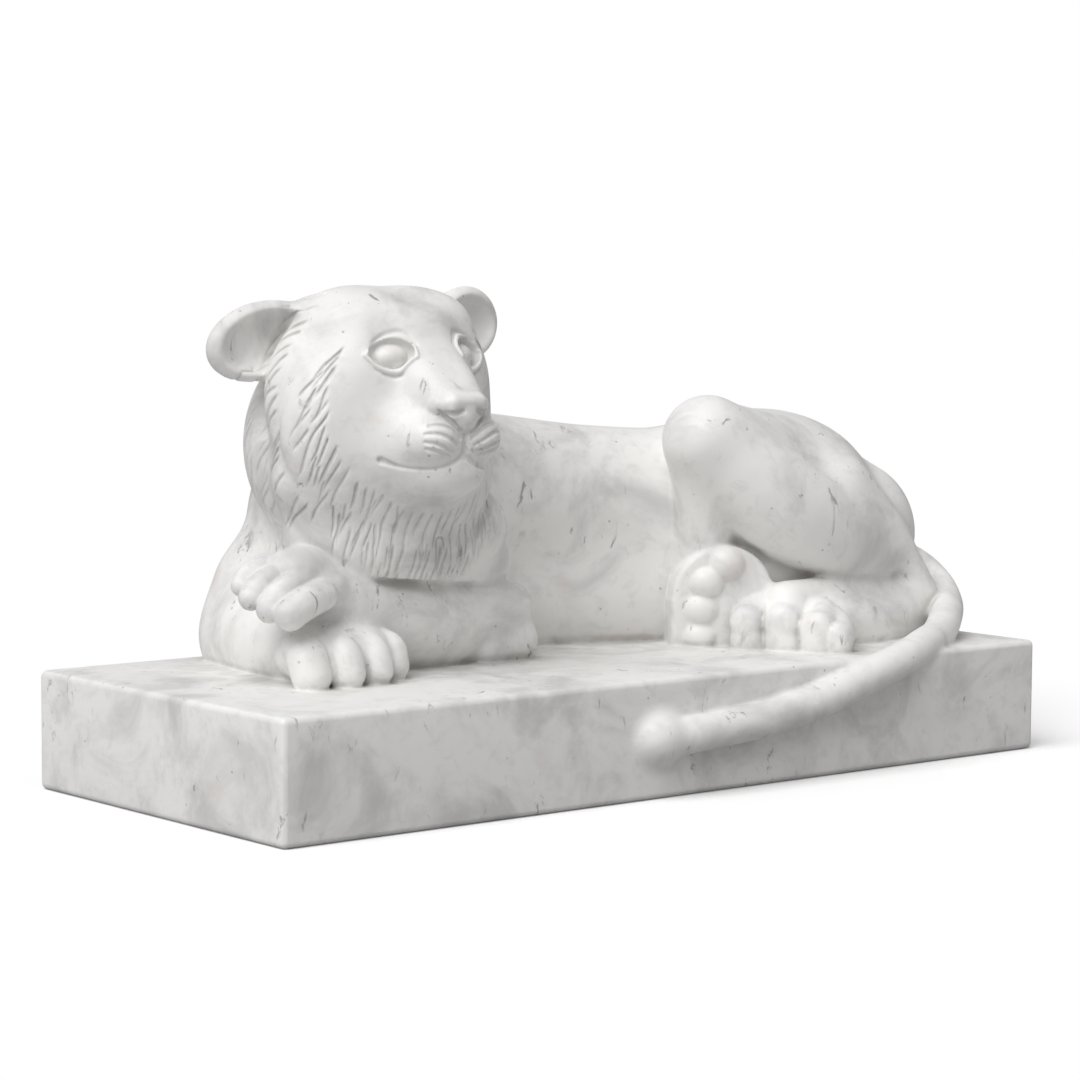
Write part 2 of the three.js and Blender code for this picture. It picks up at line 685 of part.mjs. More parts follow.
// The plinth with its softened edges, dressed back between the hind toes and the tail
function plinth() {
  const slab = new RoundedBoxGeometry(PLINTH_LONG, PLINTH_DEEP, PLINTH_HIGH, 2, PLINTH_EDGE);
  slab.translate(0, 0, PLINTH_HIGH / 2);
  const scoop = new THREE.SphereGeometry(1, 64, 48);
  scoop.scale(110, 38, 48);
  scoop.translate(122, -PLINTH_DEEP / 2 - 22, PLINTH_HIGH + 40);
  return solidOf(slab).subtract(solidOf(scoop));
}

function lion() {
  const clay = new Clay();
  collar(clay);
  trunk(clay);
  haunch(clay);
  forelegs(clay);
  farForepaw(clay);
  nearForepaw(clay);
  mane(clay);
  face(clay);
  locks(clay);
  farHindFoot(clay);
  nearHindFoot(clay);
  // the lion ends just inside the plinth, and the tail runs on below
  const rooted = 6;
  const below = 100;
  clay.block([0, 0, PLINTH_HIGH - rooted - below / 2], [PLINTH_LONG, PLINTH_DEEP, below / 2], 1, 1, NO_TURN, true);
  tail(clay);
  const low = [-PLINTH_LONG / 2 - 6, -PLINTH_DEEP / 2 - 26, 12];
  const high = [PLINTH_LONG / 2 + 12, PLINTH_DEEP / 2 + 16, HEAD_PLACE[2] + 76];
  return solid(skin(sampled(clay.forms, low, high)));
}

const block = thinned(meshOf(lion().add(plinth()).getMesh()), FACETS);
const geometry = new THREE.BufferGeometry();
geometry.setAttribute("position", new THREE.Float32BufferAttribute(block.points.flatMap((p) => [p.x, p.y, p.z]), 3));
geometry.setIndex(block.faces.flat());

const marble = new THREE.MeshStandardMaterial({ color: "#ebe7e2", roughness: 0.42, metalness: 0 });
const carving = new THREE.Mesh(geometry, marble);
carving.name = "lion_on_plinth";

const group = new THREE.Group();
group.add(carving);

export default group;
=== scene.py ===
"""A reclining marble lion with crossed forepaws, carved with its plinth from one block.

The carving is built up as a carver would block it out: rounded forms are laid on or cut away one after
the other, in millimetres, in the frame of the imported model. The finished form becomes one mesh.
"""

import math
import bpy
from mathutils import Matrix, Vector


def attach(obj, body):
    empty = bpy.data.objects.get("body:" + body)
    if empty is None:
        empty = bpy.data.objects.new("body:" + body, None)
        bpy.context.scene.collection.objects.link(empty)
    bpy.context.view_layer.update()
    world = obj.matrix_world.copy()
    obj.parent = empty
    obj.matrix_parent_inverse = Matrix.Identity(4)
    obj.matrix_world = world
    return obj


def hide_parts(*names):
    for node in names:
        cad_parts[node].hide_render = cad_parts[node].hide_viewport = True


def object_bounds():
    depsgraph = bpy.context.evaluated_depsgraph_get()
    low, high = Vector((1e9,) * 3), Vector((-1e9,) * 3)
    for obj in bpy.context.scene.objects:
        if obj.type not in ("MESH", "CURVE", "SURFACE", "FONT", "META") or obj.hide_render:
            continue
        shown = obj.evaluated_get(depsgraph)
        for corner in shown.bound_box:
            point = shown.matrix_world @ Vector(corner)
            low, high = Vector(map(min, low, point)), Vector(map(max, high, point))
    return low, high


bl_info = {
    "name": "Reclining Marble Lion",
    "version": (1, 0, 0),
    "blender": (4, 5, 0),
    "location": "View3D > Sidebar > Marble Lion",
    "description": "Carves a reclining lion on its plinth and sets it in a plain studio",
    "category": "Object",
}

import bmesh
import bpy
import numpy as np
from bpy.props import FloatProperty, FloatVectorProperty, IntProperty, PointerProperty
from mathutils import Euler, Matrix, Vector
from mathutils.bvhtree import BVHTree

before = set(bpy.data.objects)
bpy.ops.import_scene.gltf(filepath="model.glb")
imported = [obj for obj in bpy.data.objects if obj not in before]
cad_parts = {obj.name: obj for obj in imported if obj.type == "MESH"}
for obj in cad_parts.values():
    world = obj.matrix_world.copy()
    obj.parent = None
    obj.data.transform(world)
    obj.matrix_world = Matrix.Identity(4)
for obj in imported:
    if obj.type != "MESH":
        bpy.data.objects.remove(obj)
CAD_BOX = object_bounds()

MM = 0.001
NODE = "lion_on_plinth"
SIDES = (-1, 1)
NO_TURN = (0.0, 0.0, 0.0)
SEED = 7

# Lengths are in millimetres unless a comment says otherwise

# The distance given where no form is near
FAR = 1000.0
# Keeps a division from failing where a length is nought
TINY = 1e-9
# Half-size of the box round the head that is carved finest
FINE_REACH = np.array([100.0, 90.0, 125.0])
# The surface is looked for in cells of about this size, which are then halved until they are fine
COARSE = 20.0
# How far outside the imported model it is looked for
MARGIN = 8.0
# How far ahead of the surface creases are felt
CREVICE = 5.0
# A form's surface is followed this far when points are moved onto it
SETTLE_REACH = 25.0
# Corners of a tetrahedron, for slopes
AROUND = np.array([[1, -1, -1], [-1, -1, 1], [-1, 1, -1], [1, 1, 1]])

# A chisel stroke is this many times wider on its gentle side
GENTLE = 2.4
# Its wall is steeper near the middle, by this power
WALL_CURVE = 1.5
# It starts and ends shallow: shares of its length, and of its depth at each
FADE_AT = (0, 0.15, 0.7, 1)
FADE = (0, 1, 0.85, 0)
# It sways from side to side once in this length times two pi
SWAY_LONG = 6

# Flecks in the marble lean a little, in radians, and run more up than across
VEIN_LEAN = (0.2, 0.35, 0.0)
VEIN_STRETCH = (1.0, 1.0, 0.4)
# Calcite bends light this much
MARBLE_IOR = 1.49
# Light goes this far into the stone, in metres, and red a little further than blue
GLOW_DEPTH = 2.5 * MM
GLOW_COLOUR = (1, 0.95, 0.9)
GLOW_SHARE = 0.3

# The floor, in metres
FLOOR_SIZE = 30


def linear(code):
    """The linear colour of an sRGB hex code such as #e8e4dc."""
    shares = [int(code[i:i + 2], 16) / 255 for i in (1, 3, 5)]
    return (*[s / 12.92 if s <= 0.04045 else ((s + 0.055) / 1.055) ** 2.4 for s in shares], 1.0)


class LionSizes(bpy.types.PropertyGroup):
    """Sizes of the carving, in millimetres."""
    plinth_long: FloatProperty(
        name="Plinth length", description="Length of the plinth", default=600.0, min=100.0)
    plinth_deep: FloatProperty(
        name="Plinth depth", description="Depth of the plinth", default=255.0, min=50.0)
    plinth_high: FloatProperty(
        name="Plinth height", description="Height of the plinth", default=72.0, min=10.0)
    plinth_edge: FloatProperty(
        name="Plinth edge", description="Radius of the plinth's worn edges", default=4.0, min=0.5)
    head_place: FloatVectorProperty(
        name="Head", description="Middle of the head, from the middle of the plinth's underside",
        default=(-135.0, 0.0, 240.0), subtype="XYZ")
    back_high: FloatProperty(
        name="Back", description="Height of the back over the table", default=222.0)
    haunch_high: FloatProperty(
        name="Haunch", description="Height of the near knee over the table", default=232.0)
    tail_radius: FloatProperty(
        name="Tail", description="Radius of the tail", default=11.0, min=2.0)
    toe_crease: FloatProperty(
        name="Toe creases", description="Softness of the creases between the toes", default=2.0)
    cell: FloatProperty(
        name="Cell", description="Size of the cells that the surface is found in", default=1.3, min=0.8)
    triangles: IntProperty(
        name="Triangles", description="Most triangles in the finished mesh", default=196000)


class MarbleLook(bpy.types.PropertyGroup):
    """Colours of the stone."""
    stone: FloatVectorProperty(
        name="Stone", description="Clean honed marble", subtype="COLOR", size=4,
        default=linear("#f0efed"))
    shade: FloatVectorProperty(
        name="Cloud", description="Greyer clouds in the marble", subtype="COLOR", size=4,
        default=linear("#cfcecd"))
    blush: FloatVectorProperty(
        name="Blush", description="Faint pink patches", subtype="COLOR", size=4,
        default=linear("#e4dcda"))
    fleck: FloatVectorProperty(
        name="Fleck", description="Grey flecks and broken veins", subtype="COLOR", size=4,
        default=linear("#918d8b"))
    # This colour paints shade into the chisel strokes and creases, with some dust, and also darkens the pits
    grime_and_shade: FloatVectorProperty(
        name="Grime", description="Dust held in the chisel strokes", subtype="COLOR", size=4,
        default=linear("#8f877e"))


class StudioLook(bpy.types.PropertyGroup):
    """The plain studio."""
    floor: FloatVectorProperty(
        name="Floor", description="Pale floor", subtype="COLOR", size=4, default=linear("#fbfbfb"))
    bounce: FloatVectorProperty(
        name="Bounce", description="How much light the floor throws back", subtype="COLOR", size=4,
        default=linear("#a6a6a6"))
    lift: FloatProperty(
        name="Floor lift", description="Light that the floor adds of its own", default=0.09)
    key_power: FloatProperty(
        name="Key light", description="Strength of the key light", default=2.3)
    key_angle: FloatProperty(
        name="Key width", description="Angle that the key light fills", default=math.radians(50),
        subtype="ANGLE")
    key_from: FloatVectorProperty(
        name="Key from", description="Direction that the key light comes from",
        default=(-0.6, -0.22, 0.78), subtype="DIRECTION")
    sky: FloatProperty(
        name="Sky", description="Strength of the even light all round", default=0.39)


# Forms

def turn_matrix(degrees):
    return np.array(Euler([math.radians(v) for v in degrees], "XYZ").to_matrix())


class Place:
    """A place and a turn inside another place."""

    def __init__(self, origin=(0, 0, 0), degrees=NO_TURN, parent=None):
        self.turn = turn_matrix(degrees)
        self.origin = np.asarray(origin, float)
        if parent is not None:
            self.origin = parent.origin + parent.turn @ self.origin
            self.turn = parent.turn @ self.turn

    def out(self, points):
        return self.origin + np.asarray(points, float) @ self.turn.T


HOME = Place()


def length_of(vectors):
    return np.sqrt(np.einsum("ij,ij->i", vectors, vectors))


def egg_distance(p, radii):
    near = length_of(p / radii)
    return near * (near - 1) / (length_of(p / radii ** 2) + TINY)


def block_distance(p, half, edge):
    q = np.abs(p) - half + edge
    return length_of(np.maximum(q, 0)) + np.minimum(q.max(1), 0) - edge


def drum_distance(p, radius, half, edge):
    q = np.column_stack([np.hypot(p[:, 0], p[:, 2]) - radius, np.abs(p[:, 1]) - half]) + edge
    return length_of(np.maximum(q, 0)) + np.minimum(q.max(1), 0) - edge


def bones_distance(p, spare, run, widths):
    """Distance to the skin stretched over balls strung along a run; spans that are far off are left out."""
    tops = widths[:, None]
    low = np.minimum((run - tops)[:-1], (run - tops)[1:]) - spare
    high = np.maximum((run + tops)[:-1], (run + tops)[1:]) + spare
    near = ((p.min(0) < high) & (p.max(0) > low)).all(1)
    if not near.any():
        return np.full(len(p), FAR)
    a = run[:-1][near]
    axis = run[1:][near] - a
    ra = widths[:-1][near]
    rb = widths[1:][near]
    taper = ra - rb
    l2 = np.einsum("ij,ij->i", axis, axis)
    a2 = np.maximum(l2 - taper * taper, 1e-6)
    pa = p[:, None] - a
    y = np.einsum("nsj,sj->ns", pa, axis)
    z = y - l2
    x2 = np.maximum(np.einsum("nsj,nsj->ns", pa, pa) * l2 - y * y, 0) * l2
    y2 = y * y * l2
    z2 = z * z * l2
    k = np.sign(taper) * taper * taper * x2
    side = (np.sqrt(x2 * a2 / l2) + y * taper) / l2 - ra
    out = np.where(np.sign(y) * a2 * y2 < k, np.sqrt(x2 + y2) / l2 - ra, side)
    return np.where(np.sign(z) * a2 * z2 > k, np.sqrt(x2 + z2) / l2 - rb, out).min(1)


def smooth_run(points, radii, steps):
    """A Catmull-Rom curve through the points, with the radius carried along."""
    p = np.column_stack([np.asarray(points, float), np.asarray(radii, float)])
    q = np.vstack([2 * p[0] - p[1], p, 2 * p[-1] - p[-2]])
    t = (np.arange(steps) / steps)[:, None]
    spans = []
    for a, b, c, d in zip(q, q[1:], q[2:], q[3:]):
        bend = 2 * a - 5 * b + 4 * c - d
        twist = 3 * b - a - 3 * c + d
        spans.append(0.5 * (2 * b + (c - a) * t + bend * t ** 2 + twist * t ** 3))
    run = np.vstack(spans + [p[-1:]])
    return run[:, :3], run[:, 3]


class Clay:
    """Forms in the order in which they are laid on or cut away."""

    # Points are worked on in blocks of this size, so that forms far from a block are passed over
    BLOCK = 40.0

    def __init__(self):
        self.forms = []
        self.place = HOME

    def add(self, distance, low, high, blend, cut):
        self.forms.append((distance, low, high, blend, cut))

    def egg(self, centre, radii, blend, turn=NO_TURN, cut=False):
        here = Place(centre, turn, self.place)
        radii = np.asarray(radii, float)
        reach = length_of(here.turn * radii)
        self.add(lambda p, spare: egg_distance((p - here.origin) @ here.turn, radii),
                 here.origin - reach, here.origin + reach, blend, cut)

    def block(self, centre, half, edge, blend, turn=NO_TURN, cut=False):
        here = Place(centre, turn, self.place)
        half = np.asarray(half, float)
        reach = np.abs(here.turn) @ half
        self.add(lambda p, spare: block_distance((p - here.origin) @ here.turn, half, edge),
                 here.origin - reach, here.origin + reach, blend, cut)

    def drum(self, centre, radius, half, edge, blend):
        """A flat-ended round whose axis runs front to back."""
        here = Place(centre, NO_TURN, self.place)
        axis = here.turn[:, 1]
        reach = np.sqrt(np.maximum(1 - axis ** 2, 0)) * radius + np.abs(axis) * half
        self.add(lambda p, spare: drum_distance((p - here.origin) @ here.turn, radius, half, edge),
                 here.origin - reach, here.origin + reach, blend, cut=False)

    def limb(self, points, radii, blend, steps=4, cut=False):
        run, widths = smooth_run(self.place.out(points), radii, steps)
        self.bones(run, widths, blend, cut)

    def bones(self, run, widths, blend, cut):
        thick = widths.max()
        self.add(lambda p, spare: bones_distance(p, spare, run, widths),
                 run.min(0) - thick, run.max(0) + thick, blend, cut)

    def lines(self, lines, blend, steps=3, cut=True):
        """Grooves or raised lines along the surface as it stands: their points are first moved onto it."""
        runs = [smooth_run(self.place.out(points), radii, steps) for points, radii in lines]
        settled = self.settled(np.vstack([run for run, _ in runs]))
        at = 0
        for run, widths in runs:
            self.bones(settled[at:at + len(run)], widths, blend, cut)
            at += len(run)

    def distance(self, points, margin=6.0):
        """Signed distance to all the forms, negative inside, exact only near the surface."""
        out = np.full(len(points), FAR)
        lows = np.array([form[1] for form in self.forms])
        highs = np.array([form[2] for form in self.forms])
        spares = margin + 2 * np.array([form[3] for form in self.forms])
        blocks = np.floor(points / self.BLOCK).astype(int) @ np.array([1, 1000, 1000000])
        order = np.argsort(blocks, kind="stable")
        starts = np.nonzero(np.diff(blocks[order], prepend=blocks[order[0]] - 1))[0]
        for chosen in np.split(order, starts[1:]):
            p = points[chosen]
            near = ((p.min(0) < highs + spares[:, None]) & (p.max(0) > lows - spares[:, None])).all(1)
            d = np.full(len(p), FAR)
            for index in np.nonzero(near)[0]:
                distance, _, _, blend, cut = self.forms[index]
                e = distance(p, spares[index])
                meeting = np.maximum(blend - np.abs(d + e if cut else d - e), 0) / blend
                fillet = meeting * meeting * blend * 0.25
                d = np.maximum(d, -e) + fillet if cut else np.minimum(d, e) - fillet
            out[chosen] = d
        return out

    def slope(self, points, step=0.5, margin=6.0):
        """The outward direction at each point, from four samples around it."""
        rise = sum(self.distance(points + step * corner, margin)[:, None] * corner for corner in AROUND)
        return rise / (length_of(rise)[:, None] + TINY)

    def settled(self, points):
        """The points moved onto the surface, in a few steps along its slope."""
        for _ in range(4):
            step = np.clip(self.distance(points, SETTLE_REACH), -SETTLE_REACH, SETTLE_REACH)
            points = points - step[:, None] * self.slope(points, 0.5, SETTLE_REACH)
        return points


# The surface of the clay

CORNERS = np.array([[i, j, k] for k in (0, 1) for j in (0, 1) for i in (0, 1)])
CELL_EDGES = ((0, 1), (2, 3), (4, 5), (6, 7), (0, 2), (1, 3), (4, 6), (5, 7), (0, 4), (1, 5), (2, 6), (3, 7))
# A cell's three numbers are packed into one key, this many bits each
KEY_BITS = 14
KEY = np.array([1, 1 << KEY_BITS, 1 << 2 * KEY_BITS], dtype=np.int64)


def crossed_cells(clay, low, high, cell, halvings):
    """Cells that the surface may cross, found by halving coarse cells and keeping those near it."""
    size = cell * 2 ** halvings
    count = np.ceil((high - low) / size).astype(int)
    cells = np.stack(np.meshgrid(*[np.arange(n) for n in count], indexing="ij"), -1).reshape(-1, 3)
    for level in range(halvings + 1):
        middle = low + (cells + 0.5) * size
        cells = cells[np.abs(clay.distance(middle, size * 2)) < size * (1.4 if level < halvings else 1.1)]
        if level < halvings:
            cells = (cells[:, None, :] * 2 + CORNERS[None]).reshape(-1, 3)
            size /= 2
    return cells


def skin(clay, low, high, cell, halvings=4):
    """A mesh of quads over the surface: one vertex in each crossed cell."""
    cells = crossed_cells(clay, low, high, cell, halvings)
    keys = (cells[:, None, :] + CORNERS[None]).reshape(-1, 3) @ KEY
    unique, inverse = np.unique(keys, return_inverse=True)
    mask = (1 << KEY_BITS) - 1
    corners = np.stack([unique & mask, (unique >> KEY_BITS) & mask, unique >> 2 * KEY_BITS], -1)
    values = clay.distance(low + corners * cell)[inverse].reshape(-1, 8)
    inside = values < 0
    live = inside.any(1) & ~inside.all(1)
    cells, values, inside = cells[live], values[live], inside[live]
    total = np.zeros((len(cells), 3))
    count = np.zeros(len(cells))
    for a, b in CELL_EDGES:
        crossed = inside[:, a] != inside[:, b]
        share = values[:, a] / np.where(crossed, values[:, a] - values[:, b], 1.0)
        place = CORNERS[a] + share[:, None] * (CORNERS[b] - CORNERS[a])
        total += np.where(crossed[:, None], place, 0)
        count += crossed
    vertices = low + (cells + total / count[:, None]) * cell
    return vertices, quads_between(cells, inside)


def quads_between(cells, inside):
    """A quad round every grid edge that the surface crosses."""
    keys = cells @ KEY
    order = np.argsort(keys)
    keys = keys[order]
    quads = []
    for axis, (second, third) in enumerate(((1, 2), (2, 0), (0, 1))):
        crossed = inside[:, 0] != inside[:, 1 << axis]
        base = cells[crossed]
        quad = []
        whole = np.ones(len(base), bool)
        for back in ((0, 0), (1, 0), (1, 1), (0, 1)):
            other = base.copy()
            other[:, second] -= back[0]
            other[:, third] -= back[1]
            found = np.clip(np.searchsorted(keys, other @ KEY), 0, len(keys) - 1)
            whole &= keys[found] == other @ KEY
            quad.append(order[found])
        quad = np.stack(quad, -1)
        outward = inside[crossed, 0]
        quad[~outward] = quad[~outward][:, ::-1]
        quads.append(quad[whole])
    return np.concatenate(quads)


# The lion

def trunk(clay, sizes):
    """The back and belly, with the near shoulder and the chest against them."""
    spine = sizes.back_high - 52
    back = [(-120, 70, spine - 4), (-60, 78, spine + 2), (0, 77, spine - 1), (60, 66, spine - 7),
            (120, 48, spine - 12), (160, 36, spine - 15)]
    clay.limb(back, [54, 54, 51, 49, 50, 52], 10, 6)
    belly = [(-110, 72, 106), (-50, 80, 106), (0, 80, 104), (50, 70, 104), (100, 54, 106), (140, 42, 108)]
    clay.limb(belly, [48, 47, 46, 46, 50, 54], 24, 6)
    clay.egg((-70, 54, 148), (56, 40, 70), 20)
    clay.egg((-134, 72, 136), (46, 44, 64), 12)


def haunch(clay, sizes):
    """The hip and rump, then the thigh up to the knee, the calf, the fold under the knee and the tendon."""
    clay.egg((196, 30, 146), (94, 64, 74), 26)
    clay.egg((250, 0, 136), (48, 46, 50), 10)
    clay.limb([(107, -18, sizes.haunch_high - 27), (150, -6, 184), (205, 2, 160)], [26, 39, 52], 12)
    clay.limb([(104, -22, 204), (146, -38, 165), (190, -46, 142), (226, -50, 124)], [25, 33, 29, 15], 12)
    clay.limb([(102, -20, 203), (108, -15, 172), (112, -10, 142), (116, -6, 112)], [25, 20, 18.5, 20], 5)
    clay.limb([(205, -36, 168), (235, -44, 145), (255, -52, 120), (264, -56, 100)], [21, 16, 11, 12], 16)


def forelegs(clay):
    """The far foreleg points at the viewer and the near one crosses over it, from its elbow to the wrist."""
    clay.egg((-156, 86, 104), (43, 38, 52), 12)
    clay.limb([(-168, 92, 86), (-180, 45, 86), (-188, 8, 84)], [34, 31, 26], 12, 5)
    clay.block((-50, 15, 94), (25, 26, 25), 13, 5, (0, 0, 6))
    clay.egg((-36, 4, 84), (15, 18, 13), 6)
    near = [(-48, 18, 95), (-95, 12, 98), (-140, 8, 103), (-172, -1, 117), (-198, -6, 131)]
    clay.limb(near, [25, 29, 28, 24, 18], 3, 5)
    clay.limb([(-52, 8, 101), (-100, 4, 106), (-140, 2, 108)], [20, 20.5, 20], 6)


def far_forepaw(clay, sizes):
    """It lies on the plinth with its toes towards the viewer."""
    clay.place = Place((-187, -20, sizes.plinth_high))
    clay.egg((0, 2, 16), (38, 28, 20), 7)
    for x, y, r in ((-32, -20, 12), (-10, -24, 11.2), (12, -22, 10.8), (32, -12, 10)):
        clay.limb([(x * 0.8, y + 22, 22), (x, y + 5, 18), (x, y, 8)], [r * 0.9, r, r], sizes.toe_crease)
    clay.place = HOME


def near_forepaw(clay, sizes):
    """It hangs over the other forepaw, its toes fanned downwards."""
    clay.egg((-208, -8, 136), (18, 18, 15), 6)
    clay.egg((-196, -18, 127), (14, 13, 12), 4)
    toes = (
        ((-218, 3, 140), (-233, 1, 137), (-242, -3, 130), 6.5),
        ((-216, -7, 137), (-233, -11, 132), (-243, -14, 124), 7.5),
        ((-210, -18, 132), (-228, -24, 127), (-239, -27, 118), 8),
        ((-204, -28, 124), (-221, -36, 121), (-234, -40, 116), 9.5),
    )
    for knuckle, bend, tip, radius in toes:
        clay.limb([knuckle, bend, tip], [radius] * 3, sizes.toe_crease)


def collar(clay, head):
    """The lowest tier of the mane, undercut where it hangs over the foreleg."""
    clay.place = head
    clay.egg((12, 6, -86), (80, 36, 42), 3)
    clay.egg((55, 20, -108), (50, 31, 26), 8)
    clay.block((16, 10, -153), (120, 80, 40), 2, 2, (0, 6, 0), cut=True)
    clay.place = HOME


def mane(clay, head):
    """The mane in tiers, from the neck forwards, with the ears between them."""
    clay.place = head
    clay.egg((4, 48, -28), (57, 56, 78), 14)
    clay.egg((-13, 36, -32), (60, 42, 66), 10)
    for side in SIDES:
        ear(clay, head, side)
    clay.place = head
    # the ruff, and the front ruff with the beard over it
    clay.egg((-2, 10, -3), (77, 34, 65), 3)
    clay.egg((-4, 4, -45), (74, 36, 56), 10)
    clay.egg((-6, -8, -22), (74, 34, 68), 1.5)
    clay.egg((14, -14, -48), (50, 30, 42), 6)
    clay.place = HOME


def ear(clay, head, side):
    """A shallow cup with a thin rim; the near one is larger and leans back."""
    near = ((-74, 26, 30), 35, 23, -14)
    far = ((79, 26, 39), 27, 23, 0)
    centre, wide, tall, tilt = near if side < 0 else far
    rim = 3.5
    clay.place = Place(centre, (0, tilt, 10 * side), head)
    clay.limb([(-34 * side, 6, -4), (-10 * side, 2, -2)], [20, 19], 10, 2)
    clay.egg((0, 0, 0), (wide, 11, tall), 6)
    clay.egg((-2 * side, -13, -1), (wide - rim, 17, tall - rim), 3, cut=True)


def face(clay, head):
    clay.place = head
    # the skull and the front of the face, with crown and cheekbones
    clay.egg((2, 6, 5), (56, 52, 52), 8)
    clay.egg((0, -8, -8), (50, 36, 54), 16)
    for side in SIDES:
        clay.egg((25 * side, 4, 41), (29, 34, 20), 10)
        clay.egg((31 * side, -8, 8), (26, 30, 36), 14)
    # jaw, muzzle and chin, then the two ridges of the bridge and the whisker pads
    clay.egg((0, -22, -30), (42, 40, 34), 20)
    clay.egg((0, -38, -29), (34, 37, 33), 14)
    clay.egg((2, -55, -46), (23, 20, 14), 6)
    for side in SIDES:
        bridge = [(8 * side, -28, 38), (8 * side, -35, 24), (9.5 * side, -52, 8), (8 * side, -65, -2)]
        clay.limb(bridge, [10, 10, 11, 9.5], 14)
    for side in SIDES:
        clay.egg((15 * side, -59, -25), (18, 20, 15.5), 5, (0, 8 * side, 0))
    # the nose leather and its lower point
    clay.block((0, -68, -5), (14, 12.5, 7.5), 5.5, 2.5, (8, 0, 0))
    clay.egg((0, -72.5, -12), (9, 9, 9), 2.5)
    for side in SIDES:
        clay.egg((13.5 * side, -68.5, -5.5), (6.5, 8, 6.5), 2)
    mouth(clay)
    whisker_grooves(clay)
    for side in SIDES:
        eye(clay, head, side)
    clay.place = HOME


def mouth(clay):
    """Grooves for the lip's middle, the nostrils and the closed mouth."""
    clay.lines([([(0, -84, -20), (0, -81, -27), (0, -79, -34)], [1.2, 1.8, 2.6])], 1.5)
    for side in SIDES:
        nostril = [(17 * side, -76, -10.5), (11 * side, -80, -11), (6 * side, -83, -8.5)]
        lip = [(0, -79, -34), (9 * side, -77, -40), (20 * side, -67, -42.5), (30 * side, -54, -41),
               (37 * side, -44, -37)]
        clay.lines([(nostril, [1.2, 2.6, 1.6]), (lip, [2, 1.5, 1.2, 1.2, 2.2])], 1)


def whisker_grooves(clay):
    """Five curved grooves fan back over each whisker pad, each from its front end to its back end."""
    ends = (((4, -21), (19, -9)), ((5, -25), (26, -15)), ((7, -28), (29, -21)), ((10, -30.5), (29, -26.5)),
            ((12, -33), (28, -31)))
    bow = 1.5
    lines = []
    for side in SIDES:
        for front, back in ends:
            middle = ((front[0] + back[0]) / 2, (front[1] + back[1]) / 2 + bow)
            points = [(x * side, -74, z) for x, z in (front, middle, back)]
            lines.append((points, [0.9, 1.4, 1.0]))
    clay.lines(lines, 0.8)


def eye(clay, head, side):
    """Raised rims for the lids, and between them a hollow with the ball of the eye in it; x runs outwards."""
    turn = (0, 0, 24 * side)
    clay.place = Place((26 * side, -42, 24.5), turn, head)
    outer = (18 * side, 0, -2)
    inner = (-13.5 * side, 0, -5)
    upper = [outer, (11 * side, 0, 4.5), (3 * side, 0, 9.5), (-4.5 * side, 0, 10), (-10.5 * side, 0, 4),
             inner]
    lower = [outer, (12 * side, 0, -7.5), (3 * side, 0, -11), (-5 * side, 0, -10.5), inner]
    # a cut follows each lid on its outer side
    over = [(x * 1.16, 0, z * 1.28 + 0.8) for x, _, z in upper[1:-1]]
    under = [(x * 1.05, 0, z * 1.3) for x, _, z in lower[1:-1]]
    middle = clay.settled(clay.place.out([(0, 0, 0)]))[0]
    clay.lines([(over, [0.9, 1.3, 1.3, 0.9]), (under, [0.7, 1.0, 0.7])], 2)
    clay.lines([(upper, [1.3, 1.8, 2, 2, 1.8, 1.3]), (lower, [1.3, 1.5, 1.6, 1.5, 1.3])], 0.8, 4, cut=False)
    clay.place = Place(middle, turn)
    clay.egg((2 * side, 0, -0.5), (14, 6.5, 9.3), 1.2, cut=True)
    clay.egg((2 * side, 10, -3), (12, 12, 8.5), 0.8)
    clay.place = head


def hind_feet(clay, sizes):
    """The near foot lies along the plinth, and the far one is turned up and shows its sole."""
    clay.limb([(134, -8, 110), (172, -14, 110), (214, -24, 106)], [23, 25, 24], 8, 3)
    clay.place = Place((119, -18, 104), (0, 0, -32))
    clay.drum((0, 2, 0), 33, 18, 4, 2)
    clay.block((-6, 2, -20), (28, 18, 20), 4, 2)
    pads = ((2, 21, 11.5, 10.5), (-11, 9, 11.5, 10), (-15, -8.5, 11.5, 9.5), (-15.5, -25.5, 11, 8.5))
    for x, z, wide, tall in pads:
        clay.egg((x, -14, z), (wide, 8, tall), sizes.toe_crease)
    clay.place = HOME
    clay.limb([(262, -50, 86), (215, -58, 84), (172, -62, 86)], [16, 19, 20], 6)
    clay.limb([(255, -50, 98), (205, -52, 100), (145, -54, 99)], [12, 14, 15], 6)
    clay.place = Place((128, -68, sizes.plinth_high), (0, 0, -58))
    for x, y, r, top in ((-22.5, 0, 11.5, 29), (0, -2, 12, 29.5), (23, 1, 11.5, 26), (37, 18, 8.5, 19)):
        clay.limb([(x * 0.8, 22, top - r + 6), (x, 6, top - r)], [r, r], 4, 3)
        clay.drum((x, 0, top - r), r, 11, 8, sizes.toe_crease)
        clay.egg((x, -1, 6), (r, 10.5, 13), sizes.toe_crease)
    clay.place = HOME


def plinth(clay, sizes):
    half = (sizes.plinth_long / 2, sizes.plinth_deep / 2, sizes.plinth_high / 2)
    clay.block((0, 0, half[2]), half, sizes.plinth_edge, 2)
    # the stone is dressed back between the hind toes and the tail
    clay.egg((122, -half[1] - 22, sizes.plinth_high + 40), (110, 38, 48), 5, cut=True)


